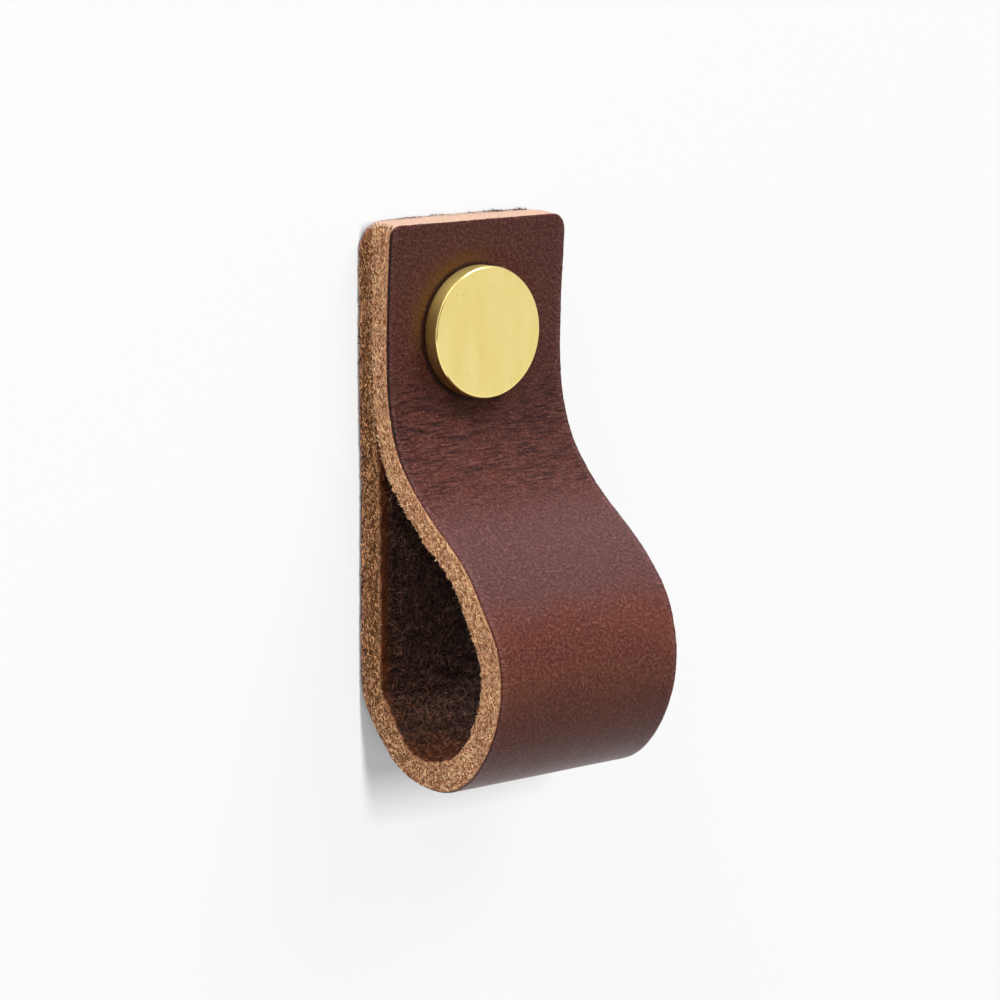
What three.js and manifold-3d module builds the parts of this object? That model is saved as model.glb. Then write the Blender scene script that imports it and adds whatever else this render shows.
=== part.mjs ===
// Leather strap pull: one strip of leather folded into a loop and held to a door by a brass knob.
// A screw comes through the door from behind, through both ends of the strip, into the knob.
// Millimetres. The door's face is the plane y = 0 and the pull stands out from it towards -Y.
// +Z is up, and the origin is where the screw's axis meets the door's face.

import * as THREE from "three";
import { mergeVertices } from "three/addons/utils/BufferGeometryUtils.js";
import Module from "manifold-3d";

// The strip of leather
const strapWidth = 26;
const leatherThickness = 3.5;
const cornerRadius = 2.5;
const edgeBreak = 0.3;
const endFaceBevel = 0.1;

// How far the leather is squeezed under the knob and at its ends, and thinned where it is pulled:
// the pull sets in at one share of the slope's length and is full at another
const clampSqueeze = 0.95;
const endSqueeze = 0.65;
const pullThinning = 0.45;
const pullSetsIn = 0.1;
const pullIsFull = 0.6;
const layerGap = 0.1;

// The fold seen from the side. The screw's height is taken from the top, the loop's shape from its
// bottom: the heel, where the leather leaves the door, and the belly, where it stands out furthest
const pullHeight = 64.2;
const endAboveScrew = 13;
const neckBelowScrew = 5.2;
const heelAboveBottom = 13;
const bellyAboveBottom = 14.7;
const loopDepth = 26;
const bottomDepth = 13.8;

// The turned brass knob
const knobDiameter = 15.4;
const headThickness = 2.45;
const rimChamfer = 0.12;
const neckDiameter = 7;
const seatPress = 0.07;
const seatClearance = 0.3;
const holeClearance = 0.25;
const neckShortfall = 0.3;
const boreDepth = 4.6;
const drillPointAngle = 118;

// The machine screw and the door that it passes through
const screwDiameter = 4;
const threadClearance = 0.1;
const screwGrip = 4;
const doorThickness = 18;
const screwHeadDiameter = 8;
const screwHeadHeight = 3.1;
const screwTipChamfer = 0.5;
const recessWidth = 4.4;
const recessSlot = 1.1;
const recessDepth = 1.9;

// How finely curved faces are cut into flats, and how far a cutting tool runs past the leather
const ringSpacing = 1.2;
const cornerSteps = 5;
const depthSteps = 120;
const roundSegments = 64;
const screwSegments = 40;
const headArcSteps = 6;
const toolOverrun = 1;

// Worked out from the sizes above
const loopBelowScrew = pullHeight - endAboveScrew;
const heelBelowScrew = loopBelowScrew - heelAboveBottom;
const bellyBelowScrew = loopBelowScrew - bellyAboveBottom;
const clampedThickness = leatherThickness - clampSqueeze;
const endThickness = leatherThickness - endSqueeze;
const neckDepth = 2 * clampedThickness + layerGap;
const endDepth = 2 * endThickness + layerGap;
const seatDepth = neckDepth - seatPress;
const knobFaceDepth = seatDepth + headThickness;
const knobRadius = knobDiameter / 2;
const neckRadius = neckDiameter / 2;
const holeRadius = neckRadius + holeClearance;
const boreRadius = screwDiameter / 2 + threadClearance;

const wasm = await Module();
wasm.setup();

function solidFrom(geometry) {
  const bare = geometry.clone();
  bare.deleteAttribute("normal");
  bare.deleteAttribute("uv");
  const merged = mergeVertices(bare, 1e-4);
  const mesh = new wasm.Mesh({
    numProp: 3,
    vertProperties: new Float32Array(merged.attributes.position.array),
    triVerts: new Uint32Array(merged.index.array),
  });
  return new wasm.Manifold(mesh);
}

function geometryFrom(solid) {
  const mesh = solid.getMesh();
  const geometry = new THREE.BufferGeometry();
  geometry.setAttribute("position", new THREE.BufferAttribute(mesh.vertProperties, 3));
  geometry.setIndex(new THREE.BufferAttribute(mesh.triVerts, 1));
  const faceted = geometry.toNonIndexed();
  faceted.computeVertexNormals();
  return faceted;
}

// A round tool on the screw's axis, between two depths from the door.
function roundTool(radius, nearDepth, farDepth) {
  const tool = new THREE.CylinderGeometry(radius, radius, farDepth - nearDepth, roundSegments);
  tool.translate(0, -(nearDepth + farDepth) / 2, 0);
  return solidFrom(tool);
}

// The grain face's line, as (depth, height): down the door, under and forward through two quarter
// ellipses, back up an S-shaped slope to the neck, and up under the knob to the front end.
const neck = new THREE.Vector2(neckDepth, -neckBelowScrew);
const front = new THREE.Vector2(loopDepth, -bellyBelowScrew);
const slopeReach = (bellyBelowScrew - neckBelowScrew) / 2;

const backLeg = new THREE.LineCurve(
  new THREE.Vector2(0, endAboveScrew),
  new THREE.Vector2(0, -heelBelowScrew),
);
const heel = new THREE.EllipseCurve(
  bottomDepth, -heelBelowScrew,
  bottomDepth, heelAboveBottom,
  Math.PI, 1.5 * Math.PI,
);
const belly = new THREE.EllipseCurve(
  bottomDepth, -bellyBelowScrew,
  loopDepth - bottomDepth, bellyAboveBottom,
  1.5 * Math.PI, 2 * Math.PI,
);
const slope = new THREE.CubicBezierCurve(
  front,
  new THREE.Vector2(front.x, front.y + slopeReach),
  new THREE.Vector2(neck.x, neck.y - slopeReach),
  neck,
);
const clampedLeg = new THREE.QuadraticBezierCurve(
  neck,
  new THREE.Vector2(neck.x, (neck.y + endAboveScrew) / 2),
  new THREE.Vector2(endDepth, endAboveScrew),
);

const foldLine = new THREE.CurvePath();
for (const stretch of [backLeg, heel, belly, slope, clampedLeg]) foldLine.add(stretch);
const foldLength = foldLine.getLength();
const bellyEnd = backLeg.getLength() + heel.getLength() + belly.getLength();

// The front layer's depth at a height, which the two layers share where they lie together.
const frontLayer = [...slope.getPoints(depthSteps), ...clampedLeg.getPoints(depthSteps)];
function stackDepth(height) {
  const above = frontLayer.findIndex((point) => point.y >= height);
  if (above < 0) return endDepth;
  if (above === 0) return loopDepth;
  const low = frontLayer[above - 1];
  const high = frontLayer[above];
  return THREE.MathUtils.mapLinear(height, low.y, high.y, low.x, high.x);
}

// The leather's thickness at a place on the fold line: full, thinned up the slope where it is
// pulled, and never more than half of the stack where the knob presses both layers together.
function thicknessAt(distance, point) {
  const alongSlope = (distance - bellyEnd) / slope.getLength();
  const thinning = pullThinning * THREE.MathUtils.smoothstep(alongSlope, pullSetsIn, pullIsFull);
  const half = (stackDepth(point.y) - layerGap) / 2;
  return Math.min(leatherThickness - thinning, half);
}

// The strip's half width at a distance from its nearer end, where its corners are rounded.
function halfWidthAt(fromEnd) {
  const inCorner = Math.max(cornerRadius - fromEnd, 0);
  return strapWidth / 2 - cornerRadius + Math.sqrt(cornerRadius ** 2 - inCorner ** 2);
}

// Distances along the strip at which its section is set: close together round the corners.
function stations() {
  const corner = [0, edgeBreak];
  for (let step = 2; step <= cornerSteps; step++) {
    const turn = (step / cornerSteps) * (Math.PI / 2);
    corner.push(edgeBreak + (cornerRadius - edgeBreak) * (1 - Math.cos(turn)));
  }
  const plainLength = foldLength - 2 * cornerRadius;
  const plainSteps = Math.ceil(plainLength / ringSpacing);
  const plain = [];
  for (let step = 1; step < plainSteps; step++) {
    plain.push(cornerRadius + (plainLength * step) / plainSteps);
  }
  const farCorner = corner.map((distance) => foldLength - distance).reverse();
  return [...corner, ...plain, ...farCorner];
}

// One ring of the loft: the strip's eight-sided section, with its edges broken.
function ringAt(distance) {
  const share = distance / foldLength;
  const point = foldLine.getPoint(share);
  const along = foldLine.getTangent(share);
  const inward = new THREE.Vector2(-along.y, along.x);
  const fromEnd = Math.min(distance, foldLength - distance);
  const inset = Math.max(edgeBreak - fromEnd, 0);
  const side = halfWidthAt(fromEnd) - inset;
  const grain = inset;
  const flesh = thicknessAt(distance, point) - inset;
  const bevel = fromEnd < edgeBreak ? endFaceBevel : edgeBreak;
  const section = [
    [side - bevel, grain],
    [side, grain + bevel],
    [side, flesh - bevel],
    [side - bevel, flesh],
    [bevel - side, flesh],
    [-side, flesh - bevel],
    [-side, grain + bevel],
    [bevel - side, grain],
  ];
  return section.map(([across, into]) => {
    const place = point.clone().addScaledVector(inward, into);
    return new THREE.Vector3(across, -place.x, place.y);
  });
}

// A closed skin over rings of equal count, capped at both ends.
function loft(rings) {
  const count = rings[0].length;
  const positions = rings.flat().flatMap((vertex) => vertex.toArray());
  const triangles = [];
  for (let ring = 0; ring + 1 < rings.length; ring++) {
    for (let side = 0; side < count; side++) {
      const a = ring * count + side;
      const b = ring * count + ((side + 1) % count);
      triangles.push(a, b, a + count, b, b + count, a + count);
    }
  }
  const last = (rings.length - 1) * count;
  for (let side = 1; side + 1 < count; side++) {
    triangles.push(0, side + 1, side);
    triangles.push(last, last + side, last + side + 1);
  }
  const geometry = new THREE.BufferGeometry();
  geometry.setAttribute("position", new THREE.Float32BufferAttribute(positions, 3));
  geometry.setIndex(triangles);
  return geometry;
}

function strapGeometry() {
  const blank = solidFrom(loft(stations().map(ringAt)));
  const punchedHole = roundTool(holeRadius, -toolOverrun, endDepth + toolOverrun);
  const seatRadius = knobRadius + seatClearance;
  const knobSeat = roundTool(seatRadius, seatDepth, endDepth + toolOverrun);
  return geometryFrom(blank.subtract(punchedHole).subtract(knobSeat));
}

// A turned shape on the screw's axis, from its outline as [radius, depth] from the door outwards.
function turned(outline, segments) {
  const profile = outline.map(([radius, depth]) => new THREE.Vector2(radius, -depth));
  return new THREE.LatheGeometry(profile, segments);
}

// The knob: a flat round head with a polished rim, and a neck that fills the punched hole and is
// drilled and tapped from behind. The neck stops short of the door, so the head clamps the leather.
function knobGeometry() {
  const drillPoint = boreRadius / Math.tan(THREE.MathUtils.degToRad(drillPointAngle / 2));
  const boreEnd = neckShortfall + boreDepth;
  return turned([
    [0, knobFaceDepth],
    [knobRadius - rimChamfer, knobFaceDepth],
    [knobRadius, knobFaceDepth - rimChamfer],
    [knobRadius, seatDepth + rimChamfer],
    [knobRadius - rimChamfer, seatDepth],
    [neckRadius, seatDepth],
    [neckRadius, neckShortfall + rimChamfer],
    [neckRadius - rimChamfer, neckShortfall],
    [boreRadius + rimChamfer, neckShortfall],
    [boreRadius, neckShortfall + rimChamfer],
    [boreRadius, boreEnd],
    [0, boreEnd + drillPoint],
  ], roundSegments);
}

// The pan head's domed top: its outline from the rim to the axis, as [radius, depth] points.
function panHeadDome() {
  const headRadius = screwHeadDiameter / 2;
  const rimHeight = screwHeadHeight / 2;
  const dome = [];
  for (let step = 0; step <= headArcSteps; step++) {
    const turn = (step / headArcSteps) * (Math.PI / 2);
    const height = rimHeight + (screwHeadHeight - rimHeight) * Math.sin(turn);
    dome.push([headRadius * Math.cos(turn), -doorThickness - height]);
  }
  dome[headArcSteps][0] = 0;
  return dome;
}

function screwGeometry() {
  const shankRadius = screwDiameter / 2;
  const blank = solidFrom(turned([
    [0, screwGrip],
    [shankRadius - screwTipChamfer, screwGrip],
    [shankRadius, screwGrip - screwTipChamfer],
    [shankRadius, -doorThickness],
    [screwHeadDiameter / 2, -doorThickness],
    ...panHeadDome(),
  ], screwSegments));
  const recessFloor = doorThickness + screwHeadHeight - recessDepth;
  const slots = [[recessWidth, recessSlot], [recessSlot, recessWidth]].map(([across, up]) => {
    const slot = new THREE.BoxGeometry(across, 2 * recessDepth, up);
    slot.translate(0, recessFloor + recessDepth, 0);
    return solidFrom(slot);
  });
  return geometryFrom(blank.subtract(slots[0]).subtract(slots[1]));
}

const leather = new THREE.MeshStandardMaterial({ color: 0x6a3d33, roughness: 0.5, metalness: 0 });
const brass = new THREE.MeshStandardMaterial({ color: 0xd8bd6e, roughness: 0.3, metalness: 1 });
const steel = new THREE.MeshStandardMaterial({ color: 0xb4b8bc, roughness: 0.35, metalness: 1 });

function piece(name, geometry, material) {
  const mesh = new THREE.Mesh(geometry, material);
  mesh.name = name;
  return mesh;
}

const strapPull = new THREE.Group();
strapPull.add(piece("strap", strapGeometry(), leather));
strapPull.add(piece("knob", knobGeometry(), brass));
strapPull.add(piece("screw", screwGeometry(), steel));

export default strapPull;
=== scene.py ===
"""The looks of a folded leather strap pull with a brass knob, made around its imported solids.

Shapes are worked out in millimetres and made in metres. Leather is laid out flat first, as
(across, along, through): across the strip, along it from its back end to its front end, and
through it from the grain face to the flesh face. Then it is folded and its surface is worked.
"""
import itertools
import math

import bpy
import numpy as np
from mathutils import Matrix


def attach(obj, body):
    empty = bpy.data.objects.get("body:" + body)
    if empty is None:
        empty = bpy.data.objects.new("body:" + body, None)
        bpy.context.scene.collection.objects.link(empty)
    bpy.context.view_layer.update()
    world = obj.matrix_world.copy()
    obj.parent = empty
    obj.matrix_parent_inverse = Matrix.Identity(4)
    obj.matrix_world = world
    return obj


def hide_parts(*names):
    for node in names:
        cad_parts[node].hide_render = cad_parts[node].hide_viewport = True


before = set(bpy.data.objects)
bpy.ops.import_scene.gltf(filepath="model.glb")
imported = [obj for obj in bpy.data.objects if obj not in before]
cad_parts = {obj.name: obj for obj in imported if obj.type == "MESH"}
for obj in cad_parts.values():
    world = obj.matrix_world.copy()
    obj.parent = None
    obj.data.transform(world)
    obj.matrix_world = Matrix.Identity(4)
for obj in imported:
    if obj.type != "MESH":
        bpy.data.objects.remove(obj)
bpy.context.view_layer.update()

MM = 0.001
chance = np.random.default_rng(17)

# The leather strip
HALF_WIDTH = 13.0
EDGE_ROUND = 0.26
LAYER_GAP = 0.04
HOLE_RADIUS = 3.75
HOLE_BLEND = 8.6
BACK_CORNERS = (3.2, 2.4)
FRONT_CORNERS = (1.4, 2.1)
# The top of the back layer: how much higher its middle stands, and its rise for each mm across
BACK_CROWN = 0.18
BACK_SKEW = 0.014
# The creases at the neck
CREASE_SPACING = 0.5
CREASES_PER_ROW = 8
CREASE_DEPTH = 0.11
# The grain face seen from the side, from the back end round to the front end: (depth, height)
FOLD = [
    (0, 13), (0, 0), (0, -13), (0, -26), (0, -34), (0.02, -38.6), (0.26, -41.4), (0.95, -43.4),
    (2.25, -45.2), (4.1, -47.25), (6.35, -49.15), (9.53, -50.61), (13.4, -51.19), (17.4, -50.6),
    (20.8, -48.5), (23.85, -44.6), (25.69, -39.95), (25.9, -35), (24.42, -30.2), (21.45, -26.2),
    (17.66, -22.92), (13.64, -19.96), (9.95, -16.7), (7.45, -13.5), (5.98, -9.9), (5.3, -6),
    (5.17, -1), (5.35, 5.1), (5.88, 13),
]
# How thick the leather is along the strip: (distance from the back end, thickness)
BACK_THICKNESS = [(0, 2.3), (14.6, 2.27), (20, 2.45), (22.6, 2.9), (25, 3.22), (28.3, 3.4), (32, 3.64)]
LOOP_THICKNESS = [
    (38, 3.72), (49, 3.78), (56, 3.74), (62, 3.5), (65, 3.15), (67.5, 2.8), (70, 3.0), (73, 3.45),
    (76, 3.6), (84, 3.46), (90, 3.55), (96, 3.58), (99, 3.66), (102, 3.4), (106, 3.15), (110, 3.0),
    (121, 3.0), (124, 3.2), (152, 3.6),
]
# How high the loose tufts stand on the top of the back layer: (across, height)
TOP_TUFTS = [
    (-13, 0.05), (-11.5, 0.1), (-10.5, 0.07), (-8.5, 0.14), (-5.5, 0.14), (-4, 0.06), (-2, 0.18),
    (-0.5, 0.07), (2, 0.08), (2.6, 0.2), (3.4, 0.1), (5.4, 0.16), (6.2, 0.3), (7.3, 0.24), (8, 0.12),
    (9.4, 0.22), (11, 0.24), (12.4, 0.28), (12.9, 0.1),
]
# The knob and its screw
KNOB_RADIUS = 7.7
SEAT_DEPTH = 5.13
FACE_DEPTH = 7.58
NECK_RADIUS = 3.5
NECK_END = 0.3
BORE_RADIUS = 2.1
BORE_END = 4.9
DOOR_THICKNESS = 18.0
SCREW_RADIUS = 2.0
SCREW_GRIP = 4.0
THREAD_PITCH = 0.7
SCREW_SIDES = 48
HEAD_RADIUS = 4.0
# The stage: how grey its paint is under a lamp, how bright the wall and the floor look beside that,
# and the way to the room's dark end
STAGE_GREY = 0.16
WALL_LIFT = 0.365
FLOOR_LIFT = 0.83
DARK_END = (-0.62, -0.77, 0.16)
# The soft lamps: name, the way to it, its strength, and how wide it looks in degrees
LAMPS = [
    ("key", (0.4, -0.5, 0.85), 1.9, 36), ("fill", (-1.0, -0.25, 0.3), 0.5, 60),
    ("upper_left", (-0.5, -0.1, 0.82), 2.6, 30),
]


# Numbers over the leather

def cloud(points, size, seed):
    """Smooth random values from -1 to 1 over points, in patches about one size across."""
    cell = np.asarray(points, float) / size
    base = np.floor(cell).astype(np.int64)
    part = cell - base
    part = part * part * (3 - 2 * part)
    total = np.zeros(len(cell))
    for corner in itertools.product((0, 1), repeat=3):
        spot = (base + corner) @ np.array([73856093, 19349663, 83492791]) + seed * 9176131
        spot = (spot ^ (spot >> 15)) * 2246822519 & 0xFFFFFFFF
        spot = (spot ^ (spot >> 13)) * 3266489917 & 0xFFFFFFFF
        value = (spot ^ (spot >> 16)) / 2147483648 - 1
        total += value * np.prod(np.where(corner, part, 1 - part), axis=1)
    return total


def smooth_step(low, high, value):
    share = np.clip((value - low) / (high - low), 0, 1)
    return share * share * (3 - 2 * share)


def unit(vectors):
    return vectors / np.maximum(np.linalg.norm(vectors, axis=-1, keepdims=True), 1e-9)


def fair_curve(points, steps):
    """A natural cubic spline through points, at even steps of its chord length."""
    points = np.asarray(points, float)
    knots = np.r_[0, np.cumsum(np.linalg.norm(np.diff(points, axis=0), axis=1))]
    gap = np.diff(knots)
    count = len(knots)
    system = np.eye(count)
    pull = np.zeros_like(points)
    for i in range(1, count - 1):
        system[i, i - 1:i + 2] = gap[i - 1], 2 * (gap[i - 1] + gap[i]), gap[i]
        pull[i] = 6 * ((points[i + 1] - points[i]) / gap[i] - (points[i] - points[i - 1]) / gap[i - 1])
    bend = np.linalg.solve(system, pull)
    at = np.linspace(0, knots[-1], steps)
    i = np.clip(np.searchsorted(knots, at) - 1, 0, count - 2)
    after, before, width = (knots[i + 1] - at)[:, None], (at - knots[i])[:, None], gap[i][:, None]
    return ((bend[i] * after ** 3 + bend[i + 1] * before ** 3) / (6 * width)
            + (points[i] / width - bend[i] * width / 6) * after
            + (points[i + 1] / width - bend[i + 1] * width / 6) * before)


class Fold:
    """The strip's folded line, its thickness, and where a flat place on the leather ends up."""

    def __init__(self):
        self.line = fair_curve(FOLD, 6001)
        self.line[:, 0] = np.maximum(self.line[:, 0], 0)
        steps = np.linalg.norm(np.diff(self.line, axis=0), axis=1)
        self.distance = np.r_[0, np.cumsum(steps)]
        self.length = float(self.distance[-1])
        self.way = unit(np.gradient(self.line, axis=0))
        self.inward = np.c_[-self.way[:, 1], self.way[:, 0]]
        self.bottom = self.distance[self.line[:, 1].argmin()]
        self.hole_distances = (self.at_height(0, back=True), self.at_height(0, back=False))
        self.thickness = self._thickness()

    def at_height(self, height, back):
        half = self.distance < self.bottom if back else self.distance >= self.bottom
        return float(self.distance[half][np.abs(self.line[half, 1] - height).argmin()])

    def _thickness(self):
        table = np.array(BACK_THICKNESS + LOOP_THICKNESS)
        free = np.interp(self.distance, table[:, 0], table[:, 1])
        width = int(2.4 / (self.length / len(self.distance)))
        calm = np.hanning(width) / np.hanning(width).sum()
        free = np.convolve(np.pad(free, width // 2, "edge"), calm, "same")[width // 2:][:len(free)]
        back = self.distance < self.bottom
        behind = np.interp(self.line[:, 1], self.line[back, 1][::-1], free[back][::-1])
        clamped = (self.line[:, 0] - behind - LAYER_GAP) * np.abs(self.way[:, 1])
        return np.where(back, free, np.minimum(free, np.where(self.line[:, 1] > -16, clamped, free)))

    def sample(self, values, along):
        if values.ndim == 1:
            return np.interp(along, self.distance, values)
        return np.stack([np.interp(along, self.distance, column) for column in values.T], -1)

    def place(self, flat):
        """The folded places, in the object's frame and millimetres, of flat places."""
        spot = self.sample(self.line, flat[:, 1])
        spot = spot + unit(self.sample(self.inward, flat[:, 1])) * flat[:, 2:3]
        return np.c_[flat[:, 0], -spot[:, 0], spot[:, 1]]


fold = Fold()


# Making meshes

def put(name, data):
    """A new object in the scene with the mesh, lamp or camera data."""
    made = bpy.data.objects.new(name, data)
    bpy.context.scene.collection.objects.link(made)
    return made


def make_piece(name, points, blocks, finishes, block_finish=None, fields=None, smooth=True):
    """A mesh piece from points in millimetres and blocks of faces with equal numbers of corners."""
    mesh = bpy.data.meshes.new(name)
    mesh.vertices.add(len(points))
    mesh.vertices.foreach_set("co", (np.asarray(points) * MM).astype(np.float32).ravel())
    corners = np.concatenate([block.ravel() for block in blocks]).astype(np.int32)
    sizes = np.concatenate([np.full(len(block), block.shape[1]) for block in blocks])
    mesh.loops.add(len(corners))
    mesh.loops.foreach_set("vertex_index", corners)
    mesh.polygons.add(len(sizes))
    mesh.polygons.foreach_set("loop_start", np.r_[0, np.cumsum(sizes)[:-1]].astype(np.int32))
    for finish in finishes:
        mesh.materials.append(finish)
    if block_finish is not None:
        slots = np.concatenate([np.full(len(b), s) for b, s in zip(blocks, block_finish)])
        mesh.polygons.foreach_set("material_index", slots.astype(np.int32))
    mesh.polygons.foreach_set("use_smooth", np.full(len(sizes), smooth))
    for label, values in (fields or {}).items():
        vector = values.ndim == 2
        field = mesh.attributes.new(label, "FLOAT_VECTOR" if vector else "FLOAT", "POINT")
        field.data.foreach_set("vector" if vector else "value", values.astype(np.float32).ravel())
    mesh.update(calc_edges=True)
    mesh.validate()
    return put(name, mesh)


def point_normals(points, blocks):
    normals = np.zeros_like(points)
    for block in blocks:
        first, other = points[block[:, 2]] - points[block[:, 0]], points[block[:, -1]] - points[block[:, 1]]
        face = np.cross(first, other)
        for corner in block.T:
            np.add.at(normals, corner, face)
    return unit(normals)


def lines_between(stops, spacings):
    """Lattice lines through every stop, with about the given spacing in each stretch."""
    parts = []
    for start, end, spacing in zip(stops[:-1], stops[1:], spacings):
        parts.append(np.linspace(start, end, max(1, round((end - start) / spacing)) + 1)[:-1])
    return np.r_[np.concatenate(parts), stops[-1]]


def square_to_round(offsets):
    """How far to scale places round a centre so that squares about it become circles."""
    square = np.abs(offsets).max(1)
    return square / np.maximum(np.linalg.norm(offsets, axis=1), 1e-9)


# The strap

def round_edges(flat, thickness):
    """Rounds the edges of the flat strip by a small radius."""
    low = np.array([-HALF_WIDTH, 0, 0]) + EDGE_ROUND
    high = np.c_[np.full(len(flat), HALF_WIDTH), np.full(len(flat), fold.length), thickness]
    core = np.clip(flat, low, high - EDGE_ROUND)
    return np.where(np.abs(flat - core).max(1, keepdims=True) > 0,
                    core + EDGE_ROUND * unit(flat - core), flat)


def round_corners(flat):
    """Rounds the strip's four corners, each by its own radius."""
    for at_back, radii in ((True, BACK_CORNERS), (False, FRONT_CORNERS)):
        for side, radius in zip((-1, 1), radii):
            inner = HALF_WIDTH - radius
            from_end = flat[:, 1] if at_back else fold.length - flat[:, 1]
            offset = np.c_[flat[:, 0] * side - inner, radius - from_end]
            zone = (offset > 0).all(1)
            moved = offset[zone] * square_to_round(offset[zone])[:, None]
            ahead = radius - moved[:, 1]
            flat[zone, 0] = side * (inner + moved[:, 0])
            flat[zone, 1] = ahead if at_back else fold.length - ahead
    return flat


def punch_holes(flat):
    """Turns the two square openings of the lattice into round holes."""
    for middle in fold.hole_distances:
        offset = np.c_[flat[:, 0], flat[:, 1] - middle]
        square = np.abs(offset).max(1)
        share = 1 - smooth_step(HOLE_RADIUS, HOLE_BLEND, square)
        scale = 1 + (square_to_round(offset) - 1) * share
        flat[:, 0] = offset[:, 0] * scale
        flat[:, 1] = middle + offset[:, 1] * scale
    return flat


def uneven_sides(flat):
    """Lets the cut sides stand a little off straight, as in hand-cut leather that has been bent."""
    across, along = flat[:, 0], flat[:, 1]
    slack = np.exp(-((along - 102) / 4.6) ** 2)
    waist = np.exp(-((along - 33) / 6) ** 2)
    left = 0.04 + 0.12 * (1 - smooth_step(18, 30, along)) - 0.08 * waist + 0.26 * slack
    right = (0.31 * smooth_step(58, 76, along) * (1 - smooth_step(120, 135, along))
             + 0.1 * smooth_step(141, 146, along))
    flat[:, 0] += np.where(across < 0, -left, right) * smooth_step(3, HALF_WIDTH, np.abs(across))
    flat[:, 2] += 0.36 * slack * smooth_step(0, HALF_WIDTH, -across)
    return flat


def neck_creases(flat):
    """Fine creases across the grain where the strip bends out from under the knob."""
    depth = np.zeros(len(flat))
    start, end = fold.at_height(-20, False), fold.at_height(-4, False)
    zone = (flat[:, 1] > start - 2) & (flat[:, 1] < end + 2)
    across, along = flat[zone, 0], flat[zone, 1]
    place = np.c_[across, along, 0 * along]
    wander = 0.35 * cloud(place, 4.5, 5) + 0.12 * cloud(place, 1.3, 6)
    total = np.zeros(zone.sum())
    for row in np.arange(start, end, CREASE_SPACING):
        strength = smooth_step(start, start + 4.5, row) * (1 - smooth_step(end - 5, end, row))
        for _ in range(CREASES_PER_ROW):
            middle = chance.uniform(-13, 14)
            half = chance.uniform(0.5, 2.4)
            tilt = chance.normal(0.03, 0.04)
            deep = strength * chance.uniform(0.25, 1.0) * CREASE_DEPTH
            wide = chance.uniform(0.08, 0.14)
            line = row + chance.normal(0, 0.3) + tilt * (across - middle) + wander
            reach = np.clip(1 - ((across - middle) / half) ** 2, 0, 1)
            total -= deep * reach * np.exp(-((along - line) / wide) ** 2)
    depth[zone] = np.maximum(total, -0.2)
    return depth


def knob_press(flat, folded):
    """How far the front of the leather sinks in under the knob's head, and bulges beside it."""
    front = flat[:, 1] > fold.bottom
    away = np.hypot(folded[:, 0], folded[:, 2])
    head_seat = np.maximum(-folded[:, 1] - SEAT_DEPTH, 0) * (1 - smooth_step(KNOB_RADIUS + 0.1, 10.6, away))
    bulge = 0.06 * np.exp(-((away - 9.6) / 1.1) ** 2)
    return np.where(front & (away < 16), head_seat - bulge * (away > KNOB_RADIUS), 0)


def strap_lattice():
    """The flat strip as a lattice with two square openings.

    Gives its points, which of them lie on the grain and on the flesh, the leather's thickness at
    each, and the faces in blocks of grain, flesh and cut edge.
    """
    near, far = fold.hole_distances
    crease_start, crease_end = fold.at_height(-21, False), fold.at_height(-5, False)
    across = lines_between(
        [-HALF_WIDTH, -HALF_WIDTH + EDGE_ROUND, -HOLE_RADIUS,
         HOLE_RADIUS, HALF_WIDTH - EDGE_ROUND, HALF_WIDTH],
        [0.09, 0.44, 0.5, 0.44, 0.09])
    along = lines_between(
        [0, EDGE_ROUND, near - HOLE_RADIUS, near + HOLE_RADIUS, 53, 78, crease_start, crease_end,
         far - HOLE_RADIUS, far + HOLE_RADIUS, fold.length - EDGE_ROUND, fold.length],
        [0.09, 0.42, 0.5, 0.4, 0.3, 0.26, 0.16, 0.3, 0.5, 0.4, 0.09])
    through = np.r_[0, 0.03, 0.07, np.linspace(0.16, 0.84, 7), 0.93, 0.97, 1]
    count = (len(across), len(along), len(through))
    middle = np.meshgrid((across[1:] + across[:-1]) / 2, (along[1:] + along[:-1]) / 2, indexing="ij")
    solid = np.ones(middle[0].shape, bool)
    for hole in fold.hole_distances:
        solid &= (np.abs(middle[0]) > HOLE_RADIUS) | (np.abs(middle[1] - hole) > HOLE_RADIUS)

    number = np.arange(np.prod(count)).reshape(count)
    i, j = np.nonzero(solid)
    grain = np.c_[number[i, j, 0], number[i + 1, j, 0], number[i + 1, j + 1, 0], number[i, j + 1, 0]]
    flesh = np.c_[number[i, j, -1], number[i, j + 1, -1], number[i + 1, j + 1, -1], number[i + 1, j, -1]]
    padded = np.pad(solid, 1).astype(int)
    k = np.arange(count[2] - 1)[None]
    walls = []
    for change, corners in (
            (padded[:-1, 1:-1] - padded[1:, 1:-1], ((0, 0, 0), (0, 0, 1), (0, 1, 1), (0, 1, 0))),
            (padded[1:-1, :-1] - padded[1:-1, 1:], ((0, 0, 0), (1, 0, 0), (1, 0, 1), (0, 0, 1)))):
        i, j = (axis[:, None] for axis in np.nonzero(change))
        wall = np.stack([number[i + a, j + b, k + c] for a, b, c in corners], -1)
        flip = (change[i[:, 0], j[:, 0]] < 0)[:, None, None]
        walls.append(np.where(flip, wall[..., ::-1], wall).reshape(-1, 4))

    faces = [grain, flesh, np.concatenate(walls)]
    used, packed = np.unique(np.concatenate([part.ravel() for part in faces]), return_inverse=True)
    blocks = [part.reshape(-1, 4) for part in np.split(packed, np.cumsum([grain.size, flesh.size]))]
    i, j, k = np.unravel_index(used, count)
    thickness = fold.sample(fold.thickness, along[j])
    return np.c_[across[i], along[j], through[k] * thickness], k == 0, k == count[2] - 1, thickness, blocks


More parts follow.
